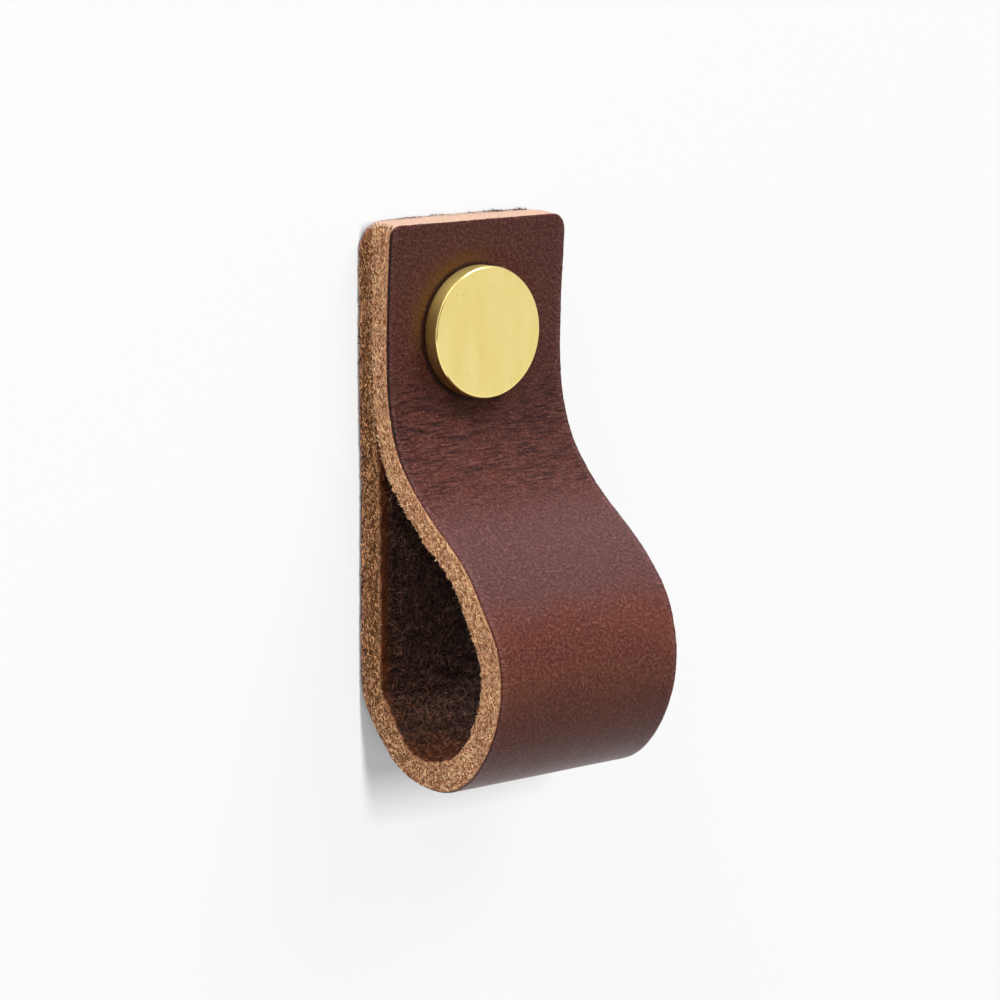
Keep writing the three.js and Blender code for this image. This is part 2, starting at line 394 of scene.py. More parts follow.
def strap_shape():
    """The folded strap: its points, its faces in blocks, and the fields that its finishes read."""
    flat, on_grain, on_flesh, thickness, blocks = strap_lattice()
    flat = punch_holes(round_corners(round_edges(flat, thickness)))
    share = flat[:, 2] / thickness
    lay = flat.copy()
    flat = uneven_sides(flat)
    folded = fold.place(flat)
    crown = (0.03 + BACK_CROWN * (1 - (flat[:, 0] / HALF_WIDTH) ** 2)) * (flat[:, 1] < fold.bottom)
    askew = (BACK_SKEW * flat[:, 0] + crown) * smooth_step(6, 12.5, folded[:, 2])

    to_side = HALF_WIDTH - np.abs(flat[:, 0])
    flat[:, 2] += np.where(on_grain, knob_press(flat, folded), 0)
    folded = fold.place(flat)
    creases = np.where(on_grain, neck_creases(flat), 0)
    near_side = 1 - smooth_step(0, 0.5, to_side)
    grain_relief = 0.035 * cloud(flat, 7, 1) + creases - 0.02 * near_side * (1 + cloud(flat, 1.1, 2))
    cut_relief = 0.045 * cloud(flat * [1, 0.5, 1.6], 0.8, 3) + 0.04 * cloud(flat, 0.4, 4)
    relief = np.where(on_grain, grain_relief, np.where(on_flesh, flesh_relief(flat, to_side), cut_relief))
    # Where leather lies on leather, on the door or under the knob, it only goes in
    relief = np.where(on_flesh & (folded[:, 2] > -15), -np.abs(relief) * 0.4, relief)
    relief = np.where(on_grain & (flat[:, 1] < 50), -np.abs(relief), relief)
    under_head = (np.hypot(folded[:, 0], folded[:, 2]) < KNOB_RADIUS + 0.3) & (folded[:, 1] < -4)
    relief = np.where(on_grain & under_head, 0, relief)
    folded += point_normals(folded, blocks) * relief[:, None]
    folded[:, 2] += askew
    # crease_shade holds how deep the neck creases go, for the grain finish to paint shade into them
    return folded, blocks, {"lay": lay, "share": share, "crease_shade": np.clip(-creases / 0.15, 0, 1)}


def flesh_relief(flat, to_side):
    """The suede side: soft lumps, wrinkles where the loop is tight, and a torn rim."""
    heel = smooth_step(44, 50, flat[:, 1]) * (1 - smooth_step(62, 70, flat[:, 1]))
    wrinkles = cloud((flat - [0, 0.12, 0] * flat[:, :1]) * [0.28, 1.55, 0], 1.0, 8) * heel
    rim = 1 - smooth_step(0.1, 0.8, to_side)
    return (0.09 * cloud(flat, 0.9, 7) + 0.2 * wrinkles + 0.06 * cloud(flat, 0.5, 9)
            + rim * (0.26 * cloud(flat, 0.6, 10) + 0.2 * cloud(flat, 1.5, 11)))


# Loose fibres

FIBRE_RINGS = ((0.22, 1.0), (0.7, 0.8))
FIBRE_SIDES = 3


def make_fibres(name, roots, ways, bends, lengths, radii, tones, shades, finish):
    """Thin fibres with pointed ends, closed, as one piece. Each bends off its way towards its tip."""
    count = len(roots)
    ways = unit(ways)
    side = unit(np.cross(ways, np.where(np.abs(ways[:, :1]) < 0.8, [[1.0, 0, 0]], [[0, 0, 1.0]])))
    other = np.cross(ways, side)

    def spine(share):
        return roots + (ways * share + bends * share ** 2) * lengths[:, None]

    points = [spine(0)[:, None]]
    turns = np.arange(FIBRE_SIDES) * 2 * math.pi / FIBRE_SIDES
    for share, width in FIBRE_RINGS:
        ring = side[:, None] * np.cos(turns)[:, None] + other[:, None] * np.sin(turns)[:, None]
        points.append(spine(share)[:, None] + ring * (radii * width)[:, None, None])
    points.append(spine(1)[:, None])
    points = np.concatenate(points, 1)
    each = points.shape[1]
    ends, bands = [], []
    for k in range(FIBRE_SIDES):
        after = (k + 1) % FIBRE_SIDES
        ends.append([0, 1 + after, 1 + k])
        ends.append([each - 1, each - 1 - FIBRE_SIDES + k, each - 1 - FIBRE_SIDES + after])
        for ring in range(len(FIBRE_RINGS) - 1):
            low = 1 + ring * FIBRE_SIDES
            bands.append([low + k, low + after, low + after + FIBRE_SIDES, low + k + FIBRE_SIDES])
    first = np.arange(count)[:, None, None] * each
    blocks = [(first + np.array(part)[None]).reshape(-1, len(part[0])) for part in (ends, bands)]
    fields = {"tone": np.repeat(tones, each), "shade": np.repeat(shades, each)}
    return make_piece(name, points.reshape(-1, 3), blocks, [finish], fields=fields)


def scatter(points, faces, count, keep):
    """Random places on quad faces, kept where keep(places) is true, with the faces' directions."""
    corners = points[faces]
    area = np.linalg.norm(np.cross(corners[:, 2] - corners[:, 0], corners[:, 3] - corners[:, 1]), axis=1)
    pick = chance.choice(len(faces), count, p=area / area.sum())
    a, b = chance.random((2, count, 1))
    c = corners[pick]
    places = (c[:, 0] * (1 - a) + c[:, 1] * a) * (1 - b) + (c[:, 3] * (1 - a) + c[:, 2] * a) * b
    normals = unit(np.cross(c[:, 2] - c[:, 0], c[:, 3] - c[:, 1]))
    held = keep(places, pick)
    return places[held], normals[held], pick[held]


def along_strip(pick, faces, lay):
    """The direction along the folded strip at each picked face, and its distance from the back end."""
    distance = lay[faces[pick]].mean(1)[:, 1]
    way = unit(fold.sample(fold.way, distance))
    return np.c_[np.zeros(len(way)), -way[:, 0], way[:, 1]], distance


# Shader sums

class Wire:
    """A shader node's output. Sums on values use Math nodes, and on vectors Vector Math nodes."""

    def __init__(self, finish, socket):
        self.finish = finish
        self.socket = socket

    def sum(self, operation, first, second):
        kinds = [one.socket.type for one in (first, second) if isinstance(one, Wire)]
        node = "ShaderNodeVectorMath" if "VECTOR" in kinds else "ShaderNodeMath"
        return self.finish.add(node, {"operation": operation}, {0: first, 1: second})

    def __add__(self, other):
        return self.sum("ADD", self, other)

    def __radd__(self, other):
        return self.sum("ADD", other, self)

    def __sub__(self, other):
        return self.sum("SUBTRACT", self, other)

    def __rsub__(self, other):
        return self.sum("SUBTRACT", other, self)

    def __mul__(self, other):
        return self.sum("MULTIPLY", self, other)

    def __rmul__(self, other):
        return self.sum("MULTIPLY", other, self)

    def __truediv__(self, other):
        return self.sum("DIVIDE", self, other)

    def __rtruediv__(self, other):
        return self.sum("DIVIDE", other, self)


class Finish:
    """A material or world in the making. Every node is added by the one method add."""

    def __init__(self, owner):
        owner.use_nodes = True
        self.owner = owner
        self.tree = owner.node_tree
        self.tree.nodes.clear()

    @staticmethod
    def _socket(sockets, key):
        if isinstance(key, int):
            return sockets[key]
        return next(socket for socket in sockets if socket.name == key and socket.enabled)

    def add(self, kind, settings=None, inputs=None, output=0):
        node = self.tree.nodes.new(kind)
        for name, value in (settings or {}).items():
            setattr(node, name, value)
        for key, value in (inputs or {}).items():
            socket = self._socket(node.inputs, key)
            if isinstance(value, Wire):
                self.tree.links.new(value.socket, socket)
            elif socket.type == "VECTOR" and np.isscalar(value):
                socket.default_value = (value, value, value)
            else:
                socket.default_value = value
        return Wire(self, self._socket(node.outputs, output)) if len(node.outputs) else node

    def noise(self, place, scale, detail=2.0, roughness=0.55):
        return self.add("ShaderNodeTexNoise", {}, {
            "Vector": place, "Scale": scale, "Detail": detail, "Roughness": roughness})

    def between(self, value, low, high, bottom=0.0, top=1.0):
        return self.add("ShaderNodeMapRange", {"interpolation_type": "SMOOTHSTEP"}, {
            "Value": value, "From Min": low, "From Max": high, "To Min": bottom, "To Max": top})

    def blend(self, share, first, second):
        return self.add("ShaderNodeMix", {"data_type": "RGBA"}, {
            "Factor": share, "A": first, "B": second}, "Result")

    def streaks(self, along, across, turn, long, thin, seed):
        """Soft threads about long by thin, turned by some degrees from the first direction."""
        cos, sin = math.cos(math.radians(turn)), math.sin(math.radians(turn))
        turned = self.place((along * cos + across * sin) / long, (across * cos - along * sin) / thin, seed)
        return self.noise(turned, 1.0, 1.0, 0.5)

    def curls(self, place, scale, width):
        """Thin curling threads, where a noise crosses its middle value."""
        wave = self.noise(place, scale, 1.5, 0.5)
        return self.between(self.size(wave - 0.5), width, 0.3 * width)

    def most(self, *values):
        found = values[0]
        for value in values[1:]:
            found = self.add("ShaderNodeMath", {"operation": "MAXIMUM"}, {0: found, 1: value})
        return found

    def least(self, first, second):
        return self.add("ShaderNodeMath", {"operation": "MINIMUM"}, {0: first, 1: second})

    def size(self, value):
        return self.add("ShaderNodeMath", {"operation": "ABSOLUTE"}, {0: value})

    def stretch(self, place, by):
        return self.add("ShaderNodeVectorMath", {"operation": "MULTIPLY"}, {0: place, 1: by})

    def dots(self, place, scale, low, high):
        """Small round spots, one to a cell."""
        from_middle = self.add("ShaderNodeTexVoronoi", {}, {"Vector": place, "Scale": scale}, "Distance")
        return self.between(from_middle, low, high)

    def place(self, x, y, z):
        return self.add("ShaderNodeCombineXYZ", {}, {"X": x, "Y": y, "Z": z})

    def parts(self, place):
        whole = self.add("ShaderNodeSeparateXYZ", {}, {"Vector": place})
        return [Wire(self, socket) for socket in whole.socket.node.outputs]

    def field(self, label, output="Vector"):
        return self.add("ShaderNodeAttribute", {
            "attribute_type": "GEOMETRY", "attribute_name": label}, {}, output)

    def relief(self, height, distance, strength=1.0, under=None):
        inputs = {"Height": height, "Distance": distance, "Strength": strength}
        if under is not None:
            inputs["Normal"] = under
        return self.add("ShaderNodeBump", {}, inputs)

    def surface(self, **inputs):
        named = {name.replace("_", " "): value for name, value in inputs.items()}
        shader = self.add("ShaderNodeBsdfPrincipled", {}, named)
        self.add("ShaderNodeOutputMaterial", {}, {"Surface": shader})
        return self.owner


def new_finish(name):
    return Finish(bpy.data.materials.new(name))


def paint(red, green, blue):
    """A colour given as it looks on screen, 0 to 255, in the light's own scale."""
    def light(value):
        value /= 255
        return value / 12.92 if value <= 0.04045 else ((value + 0.055) / 1.055) ** 2.4
    return light(red), light(green), light(blue), 1.0


# Finishes

def waxed_grain():
    """The smooth outer face: plum brown under the knob, violet on the slope, red brown on the loop. The
    violet is a painted sheen; painted shade, highlights and a brass reflection are also mixed into the
    colour below.
    """
    f = new_finish("waxed_grain")
    lay = f.field("lay")
    across, along, _ = f.parts(lay)
    crease_shade = f.field("crease_shade", "Fac")
    drift = f.noise(lay, 0.09, 3.0)
    blotch = f.noise(lay, 0.5, 3.0, 0.6)
    speck = f.noise(lay, 4.4, 2.0, 0.65)
    grit = f.noise(lay, 2.3, 2.0, 0.6)
    where = along + 9 * (drift - 0.5)
    colour = paint(82, 37, 29)
    # Tones along the strip; the violet one on the slope, from 120 to 111 along, is a painted sheen of bright
    # light from above
    for start, end, tone in (
            (134, 124, (80, 32, 27)), (120, 111, (86, 51, 56)), (105, 97, (99, 42, 26)),
            (88, 80, (92, 45, 35)), (66, 50, (84, 40, 32))):
        colour = f.blend(f.between(where, start, end), colour, paint(*tone))
    heart = f.between(along, 85, 92) * f.between(along, 105, 95)
    warm = f.noise(f.stretch(lay, (0.5, 1.0, 1.0)), 0.2, 2.0)
    colour = f.blend(heart * f.between(warm, 0.35, 0.7) * 0.5, colour, paint(124, 66, 34))
    colour = f.blend(f.between(blotch, 0.35, 0.7) * 0.2, colour, paint(58, 28, 26))

    grains = 0.65 * speck + 0.35 * grit
    # The grain's dark pits and pale tops: partly its own tone, partly painted shade and painted glints
    colour = f.blend(f.between(grains, 0.5, 0.38) * 0.6, colour, paint(34, 12, 10))
    colour = f.blend(f.between(grains, 0.54, 0.66) * 0.5, colour, paint(156, 96, 80))
    hairs = f.most(f.curls(lay, 2.2, 0.055), f.curls(lay + (7.0, 2.0, 0.0), 3.0, 0.06))
    hairs = hairs * f.between(grit, 0.42, 0.6)
    colour = f.blend(hairs * f.between(along, 136, 118, 0.22, 0.34), colour, paint(172, 114, 94))

    row = f.place(across * 0.5, (along - 0.03 * across) * 3.0, 0.3 * blotch)
    wrinkle = f.noise(row, 1.0, 2.0, 0.55)
    patch = f.between(f.noise(f.stretch(lay, (0.6, 1.3, 1.0)), 0.42, 2.0), 0.34, 0.56)
    creased = f.between(along, 114, 120) * f.between(along, 138, 129) * patch
    # Painted shade in the neck's wrinkles and painted highlights on the ridges between them; the same
    # wrinkles also make a real bump below
    colour = f.blend(f.between(wrinkle, 0.5, 0.4) * creased * 0.8, colour, paint(40, 13, 12))
    colour = f.blend(f.between(wrinkle, 0.54, 0.64) * creased * 0.4, colour, paint(134, 82, 74))
    # Painted shade down in the mesh's creases
    colour = f.blend(crease_shade * 0.9, colour, paint(38, 13, 12))

    from_side = HALF_WIDTH - f.size(across)
    upper = f.between(along, 118, 128)
    whiskers = f.noise(f.stretch(lay, (1.3, 7.5, 1.0)), 1.0, 1.0)
    near_side = f.between(from_side, 1.2, 0.5) * f.between(from_side, 0.22, 0.4)
    colour = f.blend(near_side * f.between(whiskers, 0.5, 0.62) * 0.42, colour, paint(166, 120, 120))
    # A dark band along the rounded grain edges: partly the edge's own darker finish, partly painted shade,
    # wider on the left side and near black where the layers are clamped
    border = f.between(across, -2, 2, 0.13, 0.03) + 0.22 * upper * f.between(across, 2, -2)
    dark_edge_and_shade = f.between(from_side + 0.15 * (blotch - 0.5) - border, 0.14, 0.0)
    colour = f.blend(dark_edge_and_shade * 0.92, colour, f.blend(upper, paint(58, 16, 14), paint(20, 2, 5)))

    above = along - fold.hole_distances[1]
    from_knob = f.add("ShaderNodeVectorMath", {"operation": "LENGTH"}, {
        0: f.place(across, above, 0.0)}, "Value")
    above_left = (0.7 * above - 0.7 * across) / from_knob
    # A painted reflection: yellow light thrown off the brass knob onto the leather above and left of it
    painted_brass_glow = f.between(from_knob, KNOB_RADIUS + 3.2, KNOB_RADIUS + 0.4) * f.between(above_left, 0.35, 0.95)
    colour = f.blend(painted_brass_glow * 0.6, colour, paint(110, 74, 18))
    # A painted contact shadow: a dark ring on the leather round the knob's head
    head_seat = f.between(from_knob + 0.3 * (blotch - 0.5), KNOB_RADIUS + 0.6, KNOB_RADIUS + 0.2)
    colour = f.blend(head_seat * 0.9, colour, paint(34, 10, 6))
    colour = f.blend(f.dots(lay, 0.42, 0.045, 0.03) * 0.5, colour, paint(205, 160, 145))

    rough = 0.47 + 0.16 * (blotch - 0.5) + 0.25 * (grains - 0.5)
    normal = f.relief(grains + 0.4 * hairs, 0.26 * MM, 1.0)
    normal = f.relief(wrinkle * creased, 0.3 * MM, 1.0, normal)
    wax = f.between(along, 88, 74) * f.between(along, 50, 60)
    return f.surface(
        Base_Color=colour, Roughness=rough, Specular_IOR_Level=0.2, Normal=normal,
        Specular_Tint=(1.0, 0.72, 0.66, 1.0), Coat_Weight=wax * 0.7, Coat_Roughness=0.42,
        Sheen_Weight=0.045, Sheen_Roughness=0.35, Sheen_Tint=(0.84, 0.82, 1.0, 1.0))


def cut_leather():
    """The raw cut edge: crossing pale threads over dark gaps, darker and redder on the back layer."""
    f = new_finish("cut_leather")
    lay = f.field("lay")
    across, along, through = f.parts(lay)
    share = f.field("share", "Fac")
    level = through + 0.7 * (HALF_WIDTH - f.size(across))
    run = along + 0.8 * across
    threads = f.most(f.streaks(run, level, 38, 0.8, 0.17, 0.0), f.streaks(run, level, -34, 0.8, 0.17, 7.0))
    grit = f.noise(lay, 4.5, 2.0, 0.6)
    drift = f.noise(lay, 0.16, 2.0)
    front = f.between(along, 46, 84)
    rim = f.between(share, 0.84, 0.97)
    grain_side = f.between(share, 0.34, 0.12)
    end = f.between(f.least(along, fold.length - along), 0.9, 0.25)
    dark = f.blend(front, f.blend(f.between(drift, 0.35, 0.65), paint(58, 32, 12), paint(66, 26, 16)),
                   f.blend(f.between(drift, 0.3, 0.7), paint(104, 58, 28), paint(104, 56, 36)))
    pale = f.blend(front, paint(128, 84, 44), paint(214, 158, 118))
    pale = f.blend(grain_side * (1 - front), pale, paint(172, 120, 102))
    # A painted highlight: the pale line along the back layer's flesh rim, where it catches light
    pale = f.blend(rim * (1 - front), pale, paint(190, 136, 92))
    colour = f.blend(f.between(threads, 0.46, 0.62), dark, pale)
    smooth_band = f.between(share, 0.2, 0.1) * front
    colour = f.blend(smooth_band * 0.5, colour, paint(196, 140, 106))
    colour = f.blend(end * 0.7, colour, paint(210, 180, 162))
    burnt = f.between(share + 0.04 * (grit - 0.5), 0.12 - 0.07 * front, 0.02)
    colour = f.blend(burnt * 0.9, colour, f.blend(front, paint(46, 36, 34), paint(60, 16, 12)))
    normal = f.relief(threads + 0.2 * grit, 0.3 * MM, 0.9)
    return f.surface(Base_Color=colour, Roughness=0.85, Specular_IOR_Level=0.15, Normal=normal)


def dark_suede():
    """The flesh face: dark brown nap, warmer towards the back leg's left edge and the bottom."""
    f = new_finish("dark_suede")
    lay = f.field("lay")
    across, along, _ = f.parts(lay)
    tufts = f.noise(lay, 0.8, 3.0, 0.6)
    threads = f.most(f.curls(lay, 1.5, 0.06), f.curls(lay + (6.0, 3.0, 0.0), 2.4, 0.07))
    at_left = f.between(across + 2 * (tufts - 0.5), -11, -12.7) * f.between(along, 66, 50)
    at_bottom = f.between(along + 6 * (tufts - 0.5), 62, 69) * f.between(along, 84, 76)
    warm = f.most(at_left, at_bottom * f.between(across, 8, -10))
    ginger = f.blend(f.between(along, 58, 68), paint(110, 52, 16), paint(58, 24, 10))
    colour = f.blend(warm, paint(34, 19, 14), ginger)
    colour = f.blend(threads * 0.7, colour, f.blend(warm, paint(108, 80, 70), paint(128, 74, 36)))
    colour = f.blend(f.between(tufts, 0.5, 0.32) * 0.6, colour, paint(16, 9, 8))
    from_side = HALF_WIDTH - f.size(across)
    rim = f.between(from_side + 0.5 * (tufts - 0.5), 0.45, 0.1)
    colour = f.blend(rim, colour, paint(160, 104, 76))
    normal = f.relief(threads + 0.8 * tufts, 0.25 * MM, 1.0)
    return f.surface(Base_Color=colour, Roughness=0.9, Specular_IOR_Level=0.15, Normal=normal)


def loose_fibre(name, dark, pale, other_dark, other_pale):
    """Fibres between a dark and a pale colour, which both change from one end of a shade to the other."""
    f = new_finish(name)
    tone, shade = f.field("tone", "Fac"), f.field("shade", "Fac")
    colour = f.blend(shade, f.blend(tone, paint(*dark), paint(*pale)),
                     f.blend(tone, paint(*other_dark), paint(*other_pale)))
    return f.surface(Base_Color=colour, Roughness=0.85, Specular_IOR_Level=0.2)


def turned_brass():
    """Satin brass: faint upright smudges on the face, fine turning lines round the side."""
    f = new_finish("turned_brass")
    lay = f.field("lay")
    place = f.add("ShaderNodeTexCoord", {}, {}, "Object")
    smudge = f.noise(f.stretch(place, (420, 300, 150)), 1.0, 3.0, 0.5)
    film = f.noise(f.stretch(place, (260, 260, 200)), 1.0, 3.0, 0.5)
    scratch = f.noise(f.stretch(place, (6000, 1000, 900)), 1.0, 2.0, 0.5)
    colour = f.blend(f.between(smudge, 0.25, 0.75), paint(236, 213, 132), paint(240, 221, 146))
    colour = f.blend(f.between(film, 0.5, 0.8) * 0.14, colour, paint(222, 196, 108))
    dust = f.dots(f.stretch(place, 700), 1.0, 0.09, 0.05)
    colour = f.blend(dust * 0.4, colour, paint(176, 150, 80))
    side = f.between(f.parts(lay)[0], KNOB_RADIUS - 0.03, KNOB_RADIUS)
    turning = f.noise(f.stretch(lay, (7.0, 9.0, 0)), 1.0, 2.0, 0.6)
    upper = f.between(f.parts(place)[2], 0.5 * MM, 6 * MM)
    rough = 0.15 + 0.08 * (film - 0.4) + 0.04 * (scratch - 0.5) + (0.17 + 0.16 * upper) * side
    normal = f.relief(turning + 0.3 * scratch, 0.0035 * MM, 0.6)
    return f.surface(Base_Color=colour, Metallic=1.0, Roughness=rough, Normal=normal)


def zinc_plate():
    """Bright zinc on a steel screw, a little cloudy, with fine rolling marks."""
    f = new_finish("zinc_plate")
    place = f.add("ShaderNodeTexCoord", {}, {}, "Object")
    film = f.noise(f.stretch(place, 420), 1.0, 3.0, 0.6)
    marks = f.noise(f.stretch(place, (2600, 700, 2600)), 1.0, 2.0, 0.6)
    colour = f.blend(f.between(film, 0.3, 0.7), paint(186, 190, 196), paint(214, 216, 218))
    rough = 0.26 + 0.2 * (film - 0.4) + 0.06 * (marks - 0.5)
    normal = f.relief(marks, 0.004 * MM, 0.5)
    return f.surface(Base_Color=colour, Metallic=1.0, Roughness=rough, Normal=normal)


# Turned pieces

def turns_round(segments):
    return np.arange(segments) * 2 * math.pi / segments


def turned_shape(outline, segments):
    """Points and faces of a shape turned on the screw's axis, and each point's (radius, depth, 0).

    The outline is (radius, depth) pairs that start and end on the axis. A radius may also be an
    array, with a value for each segment.
    """
    lay = [[(0, outline[0][1], 0)]]
    for radius, depth in outline[1:-1]:
        lay.append(np.c_[np.broadcast_to(radius, segments), np.full(segments, depth), np.zeros(segments)])
    lay.append([(0, outline[-1][1], 0)])
    lay = np.concatenate(lay)
    turns = np.r_[0, np.tile(turns_round(segments), len(outline) - 2), 0]
    points = np.c_[lay[:, 0] * np.cos(turns), -lay[:, 1], lay[:, 0] * np.sin(turns)]
    k = np.arange(segments)
    after = (k + 1) % segments
    low = 1 + np.arange(len(outline) - 3)[:, None] * segments
    bands = np.stack([low + k, low + after, low + after + segments, low + k + segments], -1).reshape(-1, 4)
    end = len(points) - 1
    first = np.c_[np.zeros(segments, int), 1 + after, 1 + k]
    last = np.c_[np.full(segments, end), end - segments + k, end - segments + after]
    return points, [first, last, bands], lay


def arc(centre, radius, start, end, steps):
    turns = np.radians(np.linspace(start, end, steps + 1))
    return [(centre[0] + radius * math.cos(t), centre[1] + radius * math.sin(t)) for t in turns]


def knob_outline():
    """The knob from the middle of its face round to the bottom of its bore: (radius, depth)."""
    rim, soft, foot = 0.15, 0.07, 0.36
    tangent = soft * math.tan(math.radians(22.5))
    return [
        (0, FACE_DEPTH),
        *[(r, FACE_DEPTH) for r in (1.2, 2.6, 4.0, 5.4, 6.6, 7.2)],
        *arc((KNOB_RADIUS - rim - tangent, FACE_DEPTH - soft), soft, 90, 45, 4),
        *arc((KNOB_RADIUS - soft, FACE_DEPTH - rim - tangent), soft, 45, 0, 4),
        *[(KNOB_RADIUS, d) for d in (7.2, 6.7, 6.2, 5.7)],
        *arc((KNOB_RADIUS - foot, SEAT_DEPTH + foot), foot, 0, -90, 3),
        (6.4, SEAT_DEPTH), (5.0, SEAT_DEPTH), (NECK_RADIUS + 0.12, SEAT_DEPTH),
        (NECK_RADIUS, SEAT_DEPTH - 0.12), (NECK_RADIUS, 3.6), (NECK_RADIUS, 2.0),
        (NECK_RADIUS, NECK_END + 0.15), (NECK_RADIUS - 0.15, NECK_END),
        (BORE_RADIUS + 0.25, NECK_END), (BORE_RADIUS, NECK_END + 0.25),
        (BORE_RADIUS, 1.6), (BORE_RADIUS, 3.2), (BORE_RADIUS, BORE_END),
        (0, BORE_END + BORE_RADIUS / math.tan(math.radians(59))),
    ]


def screw_outline():
    """The screw from its tip through its rolled thread to the top of its domed head."""
    turns = turns_round(SCREW_SIDES)
    crest, root = SCREW_RADIUS - 0.02, SCREW_RADIUS - 0.42
    rings = []
    for depth in np.arange(-DOOR_THICKNESS + 0.4, SCREW_GRIP - 0.05, THREAD_PITCH / 10):
        phase = np.mod((depth + THREAD_PITCH * turns / (2 * math.pi)) / THREAD_PITCH, 1)
        flank = np.clip(1.25 - 2.6 * np.abs(phase - 0.5), 0, 1)
        fade = smooth_step(-DOOR_THICKNESS + 0.3, -DOOR_THICKNESS + 2.2, depth)
        taper = np.clip((SCREW_GRIP - depth) / 0.5, 0, 1)
        radius = crest - (1 - flank) * (crest - root) * fade
        rings.append((np.minimum(radius, root - 0.2 + (crest - root + 0.2) * taper), depth))
    soft, dome_start, dome_height = 0.15, 1.35, 1.75
    return [
        (0, SCREW_GRIP), *rings[::-1],
        (crest, -DOOR_THICKNESS + 0.2), (crest + 0.15, -DOOR_THICKNESS),
        (HEAD_RADIUS - soft, -DOOR_THICKNESS),
        *arc((HEAD_RADIUS - soft, -DOOR_THICKNESS - soft), soft, 90, 0, 3),
        (HEAD_RADIUS, -DOOR_THICKNESS - 1.0),
        *[(HEAD_RADIUS * math.cos(a), -DOOR_THICKNESS - dome_start - dome_height * math.sin(a))
          for a in np.radians([4, 12, 22, 34, 47, 60, 73, 83])],
        (0, -DOOR_THICKNESS - dome_start - dome_height),
    ]


def cut_recess(screw, finish):
    """Cuts the cross recess into the screw's head, one wing after the other."""
    for name, turned in (("upright", 0), ("level", 1)):
        cutter = recess_wing(name, turned, finish)
        slot = screw.modifiers.new(name, "BOOLEAN")
        slot.operation = "DIFFERENCE"
        slot.object = cutter
        slot.solver = "EXACT"
        cut = bpy.data.meshes.new_from_object(screw.evaluated_get(bpy.context.evaluated_depsgraph_get()))
        screw.modifiers.clear()
        screw.data = cut
        bpy.data.objects.remove(cutter)


def recess_wing(name, turned, finish):
    """One tapered wing of the cross recess, as a cutter."""
    top, bottom = DOOR_THICKNESS + 3.4, DOOR_THICKNESS + 1.2
    ring = []
    for depth, long, short in ((top, 2.35, 0.62), (bottom, 0.95, 0.42)):
        for a, b in ((-1, -1), (1, -1), (1, 1), (-1, 1)):
            across, up = (a * long, b * short) if turned else (a * short, b * long)
            ring.append((across, depth, up))
    sides = np.array([(0, 1, 2, 3), (7, 6, 5, 4), (0, 4, 5, 1), (1, 5, 6, 2), (2, 6, 7, 3), (3, 7, 4, 0)])
    return make_piece(name, np.array(ring, float), [sides[:, ::-1]], [finish], smooth=False)


# Putting it together

def dress(piece, slot_name, *nodes):
    """Hangs a piece on the root body and hides the imported solids that it stands for. slot_name is not
    used.
    """
    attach(piece, "root")
    if nodes:
        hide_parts(*nodes)


def build_strap():
    points, blocks, fields = strap_shape()
    grain, flesh, cut = blocks
    lay, share = fields["lay"], fields["share"]
    finishes = [waxed_grain(), dark_suede(), cut_leather()]
    strap = make_piece("folded_strap", points, blocks, finishes, (0, 1, 2), fields)
    dress(strap, "leather", "strap")
    tan = loose_fibre("tan_fibres", (56, 30, 12), (214, 158, 112), (136, 80, 46), (255, 222, 172))
    dark = loose_fibre("dark_fibres", (72, 31, 11), (168, 90, 38), (20, 9, 6), (172, 132, 112))
    build_edge_fibres(points, cut, lay, share, tan)
    build_rim_fuzz(points, cut, lay, share, tan)
    build_nap("nap_behind", points, flesh, lay, 27, 82, 38000, dark)
    build_nap("nap_before", points, flesh, lay, 82, 124, 22000, dark)
    build_top_fuzz(points, cut, lay, dark)


def paleness(distance):
    """The cut edge's tone along the strip: 0 on the back leg, 1 on the front of the loop."""
    return smooth_step(46, 86, distance)


def clumped_tones(distance, spots):
    """Random tones for the nap, dark and pale in clumps, with bands across at the tight heel."""
    place = np.c_[spots[:, 0], distance, 0 * distance]
    clumps = 0.5 + 0.5 * cloud(place * [1, 0.7, 1], 0.75, 41)
    heel = smooth_step(44, 50, distance) * (1 - smooth_step(62, 70, distance))
    bands = 0.5 + 0.5 * cloud((place - [0, 0.12, 0] * place[:, :1]) * [0.28, 1.55, 0], 1.0, 8)
    clumps = clumps * (1 - 0.7 * heel) + bands * 0.7 * heel
    return chance.random(len(place)) ** 1.5 * (0.35 + 0.9 * clumps).clip(0, 1)


def on_side(spots):
    """True on the strip's two long cut sides."""
    return np.abs(spots[:, 0]) > HALF_WIDTH - 0.5


